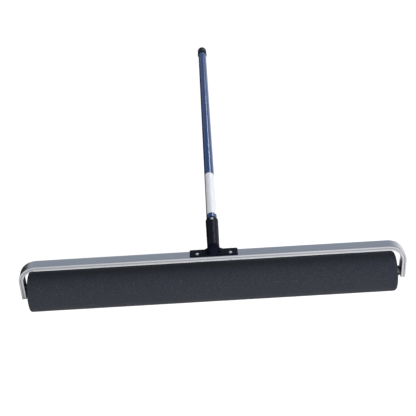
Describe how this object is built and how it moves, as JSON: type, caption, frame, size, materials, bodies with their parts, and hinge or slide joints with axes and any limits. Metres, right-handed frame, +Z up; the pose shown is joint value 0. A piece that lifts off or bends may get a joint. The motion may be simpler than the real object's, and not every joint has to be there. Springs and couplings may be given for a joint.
{
  "type": "tennis court squeegee",
  "caption": "Court roller squeegee: a foam roller turns on an axle between the arms of a bent aluminium bar, with a long tube handle in a moulded socket.",
  "frame": {"origin": "on the floor, under the middle of the whole squeegee as it lies with its roller and its handle end down", "axes": "+X along the roller to its right end, +Y from the roller along the floor to the handle's far end, +Z up"},
  "size_m": [0.9618, 1.2824, 0.1664],
  "materials": {
    "aluminium": "satin",
    "foam": "matte",
    "white_plastic": "satin",
    "moulding": "satin",
    "nylon": "satin",
    "steel": "satin",
    "blue_paint": "gloss"
  },
  "bodies": {
    "frame": {"frame_bar": "aluminium", "handle_socket": "moulding", "handle_tube": "blue_paint", "handle_screw": "steel", "handle_end_cap": "moulding", "axle_rod": "steel", "axle_screw_left": "steel", "axle_spacer_left": "nylon", "thrust_washer_left": "nylon", "bracket_bolt_left": "steel", "bracket_washer_left": "steel", "bracket_nut_left": "steel", "axle_screw_right": "steel", "axle_spacer_right": "nylon", "thrust_washer_right": "nylon", "bracket_bolt_right": "steel", "bracket_washer_right": "steel", "bracket_nut_right": "steel"},
    "roller": {"foam_sleeve": "foam", "core_tube": "white_plastic", "end_plug_left": "moulding", "end_plug_right": "moulding", "bush_left": "nylon", "bush_right": "nylon"}
  },
  "joints": [
    {"name": "roller_spin", "type": "hinge", "parent": "frame", "child": "roller", "pos_m": [0, -0.5904, 0.05079], "axis": [1, 0, 0], "continuous": true}
  ]
}
